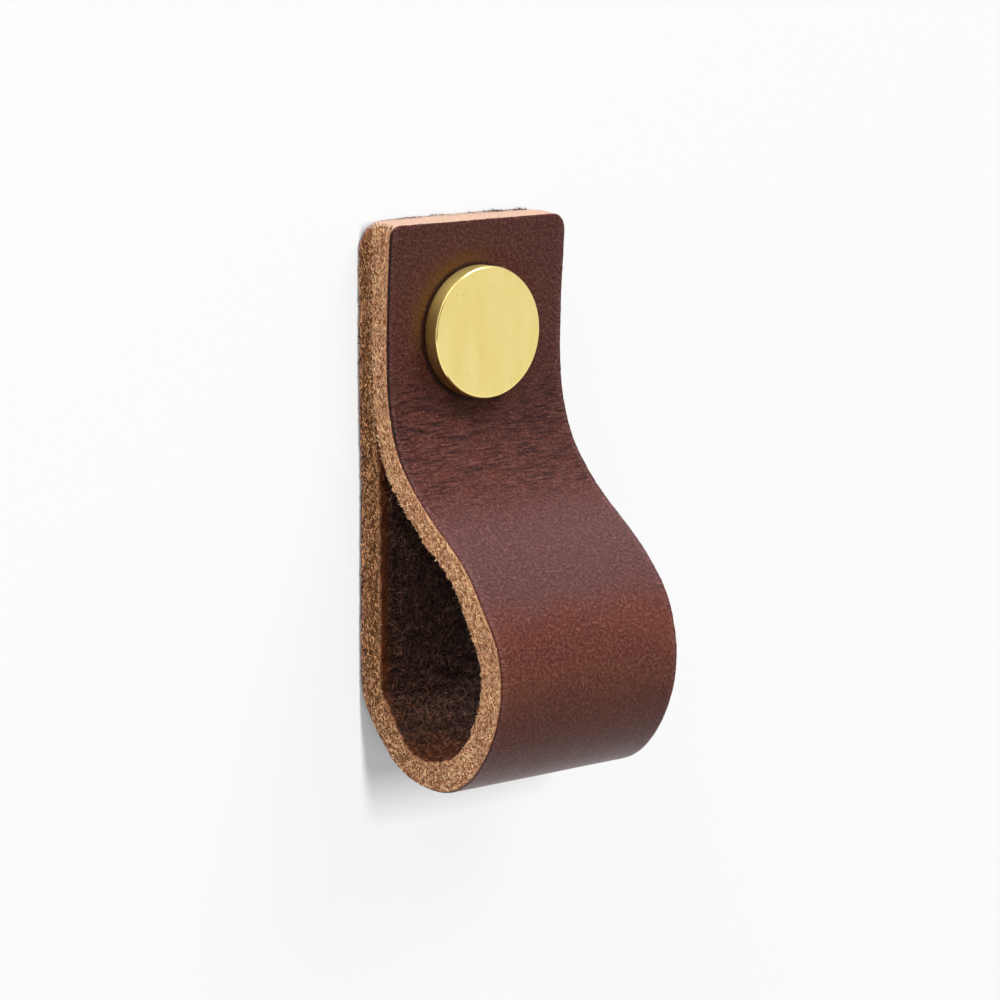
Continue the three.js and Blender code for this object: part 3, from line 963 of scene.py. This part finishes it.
def build_edge_fibres(points, cut, lay, share, finish):
    """Fibres that lie on the cut sides, flatter along the strip near both of its faces."""
    def mid_edge(spots, pick):
        middle = share[cut[pick]].mean(1)
        low = np.where(spots[:, 0] > 0, 0.3, 0.1)
        right_tip = (spots[:, 0] > 0) & (spots[:, 0] < HALF_WIDTH - 0.15)
        return on_side(spots) & ~right_tip & (middle > low) & (middle < 0.94)

    spots, normals, pick = scatter(points, cut, 17000, mid_edge)
    along, distance = along_strip(pick, cut, lay)
    count = len(spots)
    middle = share[cut[pick]].mean(1)[:, None]
    free = np.clip(5 * np.minimum(middle - 0.06, 1.0 - middle), 0.05, 1)
    swing = chance.choice([-1, 1], (count, 1)) * chance.normal(0.7, 0.4, (count, 1)) * free
    upward = np.cross(normals, along)
    lift = chance.uniform(-0.02, 0.12, (count, 1))
    ways = along * np.cos(swing) + upward * np.sin(swing) + normals * lift
    bends = chance.normal(0, 0.4, (count, 2)) * free
    bends = bends[:, :1] * along + bends[:, 1:] * upward - 0.08 * normals
    lengths = chance.uniform(0.35, 0.75, count)
    radii = chance.uniform(0.04, 0.06, count)
    tones = smooth_step(0.2, 0.8, chance.random(count))
    made = make_fibres("edge_fibres", spots + 0.015 * normals, ways, bends, lengths, radii, tones,
                       paleness(distance), finish)
    dress(made, "leather")


def build_rim_fuzz(points, cut, lay, share, finish):
    """Short tufts that stand inwards from the rim between the cut sides and the flesh."""
    rim = cut[share[cut].mean(1) > 0.9]
    spots, normals, pick = scatter(points, rim, 7000, lambda spots, pick: on_side(spots))
    _, distance = along_strip(pick, rim, lay)
    count = len(spots)
    inward = unit(fold.sample(fold.inward, distance))
    inward = np.c_[np.zeros(count), -inward[:, 0], inward[:, 1]]
    ways = inward + 0.4 * normals + 0.7 * chance.normal(size=(count, 3)) * [0.4, 1, 1]
    open_loop = (distance > 26) & (distance < 125)
    tufts = 0.6 + 0.6 * np.maximum(cloud(lay[rim[pick]].mean(1), 0.8, 21), 0)
    lengths = np.where(
        open_loop, chance.uniform(0.12, 0.26, count) * tufts, chance.uniform(0.12, 0.22, count))
    bends = 0.6 * chance.normal(size=(count, 3))
    made = make_fibres("rim_fuzz", spots - 0.04 * normals, ways, bends, lengths, 0.3 * lengths + 0.02,
                       chance.random(count), 0.3 + 0.6 * paleness(distance), finish)
    dress(made, "leather")


def build_nap(name, points, flesh, lay, low, high, amount, finish):
    """Suede nap that lies flat on the flesh face from low to high along the strip."""
    def inside(spots, pick):
        distance = lay[flesh[pick]].mean(1)[:, 1]
        return (distance > low) & (distance < high) & ~on_side(spots)

    spots, normals, pick = scatter(points, flesh, amount, inside)
    along, distance = along_strip(pick, flesh, lay)
    count = len(spots)
    lean = chance.uniform(0.1, 0.36, (count, 1))
    flat_way, flat_bend = (one - 0.88 * normals * (one * normals).sum(1, keepdims=True)
                           for one in chance.normal(size=(2, count, 3)))
    ways = normals * lean - along * 0.3 + 0.6 * flat_way
    lengths = chance.uniform(0.3, 0.68, count)
    radii = chance.uniform(0.035, 0.06, count)
    at_left = smooth_step(-10.5, -12.7, spots[:, 0]) * (distance < 66)
    at_heel = (smooth_step(2, -11, spots[:, 0]) * (distance < 82)
               * (0.25 + 0.45 * smooth_step(45, 66, distance)))
    made = make_fibres(name, spots, ways, 0.65 * flat_bend, lengths, radii, clumped_tones(distance, spots),
                       1 - 0.9 * np.maximum(at_left, at_heel), finish)
    dress(made, "leather")


def build_top_fuzz(points, cut, lay, finish):
    """Dark loose tufts on the top end of the back layer."""
    def at_top(spots, pick):
        return (spots[:, 2] > 12.2) & (lay[cut[pick]].mean(1)[:, 1] < 40) & (spots[:, 1] > -1.1)

    spots, normals, _ = scatter(points, cut, 110000, at_top)
    height = np.interp(spots[:, 0], *zip(*TOP_TUFTS)) + 0.05 * cloud(spots * [1, 0, 0], 0.5, 32)
    held = height > chance.uniform(0, 0.35, len(spots))
    spots, normals = spots[held], normals[held]
    count = len(spots)
    ways = 0.7 * normals + 0.8 * chance.normal(size=(count, 3))
    lengths = chance.uniform(0.4, 1.0, count) * np.clip(height[held], 0.08, 0.5)
    bends = 0.8 * chance.normal(size=(count, 3))
    tones = 0.7 * chance.random(count) ** 2
    made = make_fibres("top_fuzz", spots - 0.02 * normals, ways, bends, lengths, 0.03 + lengths * 0.08,
                       tones, chance.choice([0.6, 0.9, 1.0], count), finish)
    dress(made, "leather")


def build_knob():
    points, faces, lay = turned_shape(knob_outline(), 256)
    knob = make_piece("turned_knob", points, faces, [turned_brass()], fields={"lay": lay})
    dress(knob, "brass", "knob")


def build_screw():
    points, faces, _ = turned_shape(screw_outline(), SCREW_SIDES)
    finish = zinc_plate()
    screw = make_piece("screw_m4", points, faces, [finish])
    cut_recess(screw, finish)
    dress(screw, "steel", "screw")


# Wall, floor, light and camera

def seen_straight(f):
    """1 where the camera or a gloss sees a thing, and 0 where it only lights something else."""
    return f.most(*(f.add("ShaderNodeLightPath", {}, {}, ray) for ray in (
        "Is Camera Ray", "Is Glossy Ray", "Is Transmission Ray")))


def stage_finish(name, lift_level):
    """Pale paint that keeps the shadows, and is nearly white where it is seen straight."""
    f = new_finish(name)
    lit = f.add("ShaderNodeBsdfDiffuse", {}, {"Color": (STAGE_GREY, STAGE_GREY, STAGE_GREY, 1)})
    # The glow is dimmed by ambient occlusion near the object: a painted contact shadow on the wall and floor
    corner = f.add("ShaderNodeAmbientOcclusion", {"samples": 8}, {"Distance": 12 * MM}, "AO")
    lift = f.add("ShaderNodeEmission", {}, {
        "Color": (1, 1, 1, 1), "Strength": lift_level * f.between(corner, 0.05, 0.62, 0.25, 1.0)})
    both = f.add("ShaderNodeAddShader", {}, {0: lit, 1: lift})
    shader = f.add("ShaderNodeMixShader", {}, {0: seen_straight(f), 1: lit, 2: both})
    behind = f.add("ShaderNodeNewGeometry", {}, {}, "Backfacing")
    clear = f.add("ShaderNodeBsdfTransparent")
    shader = f.add("ShaderNodeMixShader", {}, {0: behind, 1: shader, 2: clear})
    f.add("ShaderNodeOutputMaterial", {}, {"Surface": shader})
    return f.owner


def backdrop(name, corners, finish):
    made = make_piece(name, np.array(corners, float), [np.array([[0, 1, 2, 3]])], [finish], smooth=False)
    return made


def light_wall(wall):
    """A tall narrow lamp far in front, for the wall alone: it casts the loop's soft shadow below."""
    data = bpy.data.lights.new("wall_strip", "AREA")
    data.shape = "RECTANGLE"
    data.size, data.size_y = 0.56, 1.6
    data.energy = 500.0
    strip = put("wall_strip", data)
    aim_lamp(strip, (-0.1, -0.97, 0.235), 4.0)
    only_wall = bpy.data.collections.new("only_wall")
    only_wall.objects.link(wall)
    strip.light_linking.receiver_collection = only_wall


def build_stage():
    reach, foot, wall_depth = 3000.0, -700.0, 0.15
    wall = backdrop("wall", [
        (-reach, wall_depth, foot), (reach, wall_depth, foot), (reach, wall_depth, reach),
        (-reach, wall_depth, reach)], stage_finish("wall_paint", WALL_LIFT))
    wall.visible_diffuse = False
    wall.visible_shadow = False
    light_wall(wall)
    backdrop("floor", [
        (-reach, -reach, foot), (reach, -reach, foot), (reach, reach, foot), (-reach, reach, foot)],
        stage_finish("floor_paint", FLOOR_LIFT))


def build_world():
    """An even pale room, with a darker end behind the camera for the brass to reflect."""
    world = bpy.data.worlds.new("studio")
    bpy.context.scene.world = world
    f = Finish(world)
    way = f.add("ShaderNodeTexCoord", {}, {}, "Generated")
    facing = f.add("ShaderNodeVectorMath", {"operation": "DOT_PRODUCT"}, {
        0: way, 1: DARK_END}, "Value")
    dark = f.between(facing, 0.86, 0.95) * f.add("ShaderNodeLightPath", {}, {}, "Is Glossy Ray")
    strength = (0.5 + 0.46 * seen_straight(f)) * (1 - 0.85 * dark)
    shader = f.add("ShaderNodeBackground", {}, {"Color": (1, 1, 1, 1), "Strength": strength})
    f.add("ShaderNodeOutputWorld", {}, {"Surface": shader})


def stand(thing, side, up, back, place):
    """Puts a lamp or camera at a place, looking away from back."""
    stance = Matrix(np.column_stack([side, up, back]).tolist()).to_4x4()
    stance.translation = place
    thing.matrix_world = stance


def aim_lamp(lamp, towards, away):
    """Puts a lamp some metres away in a direction, shining back at the origin."""
    back = unit(np.array(towards, float))
    side = unit(np.cross([0, 0, 1], back))
    stand(lamp, side, np.cross(back, side), back, back * away)


def build_lamp(name, towards, strength, spread):
    """A soft lamp far away, that shines from a direction."""
    data = bpy.data.lights.new(name, "SUN")
    data.energy = strength
    data.angle = math.radians(spread)
    aim_lamp(put(name, data), towards, 1.0)


def build_camera():
    """The photograph's viewpoint: low on the left, in front of the wall."""
    azimuth, elevation, roll = np.radians([-39.344, 9.5075, 0.2527])
    distance, aim = 401.066, np.array([7.977, 0, -21.4385])
    back = np.array([math.sin(azimuth) * math.cos(elevation), -math.cos(azimuth) * math.cos(elevation),
                     math.sin(elevation)])
    right = np.array([math.cos(azimuth), math.sin(azimuth), 0])
    up = np.cross(back, right)
    data = bpy.data.cameras.new("camera")
    data.sensor_width = 36.0
    data.lens = 3.3464 * data.sensor_width
    camera = put("camera", data)
    stand(camera, math.cos(roll) * right + math.sin(roll) * up, math.cos(roll) * up - math.sin(roll) * right,
          back, (aim + back * distance) * MM)
    bpy.context.scene.camera = camera


bpy.context.scene.view_settings.view_transform = "Standard"
build_camera()
build_stage()
build_world()
for lamp_facts in LAMPS:
    build_lamp(*lamp_facts)
build_strap()
build_knob()
build_screw()
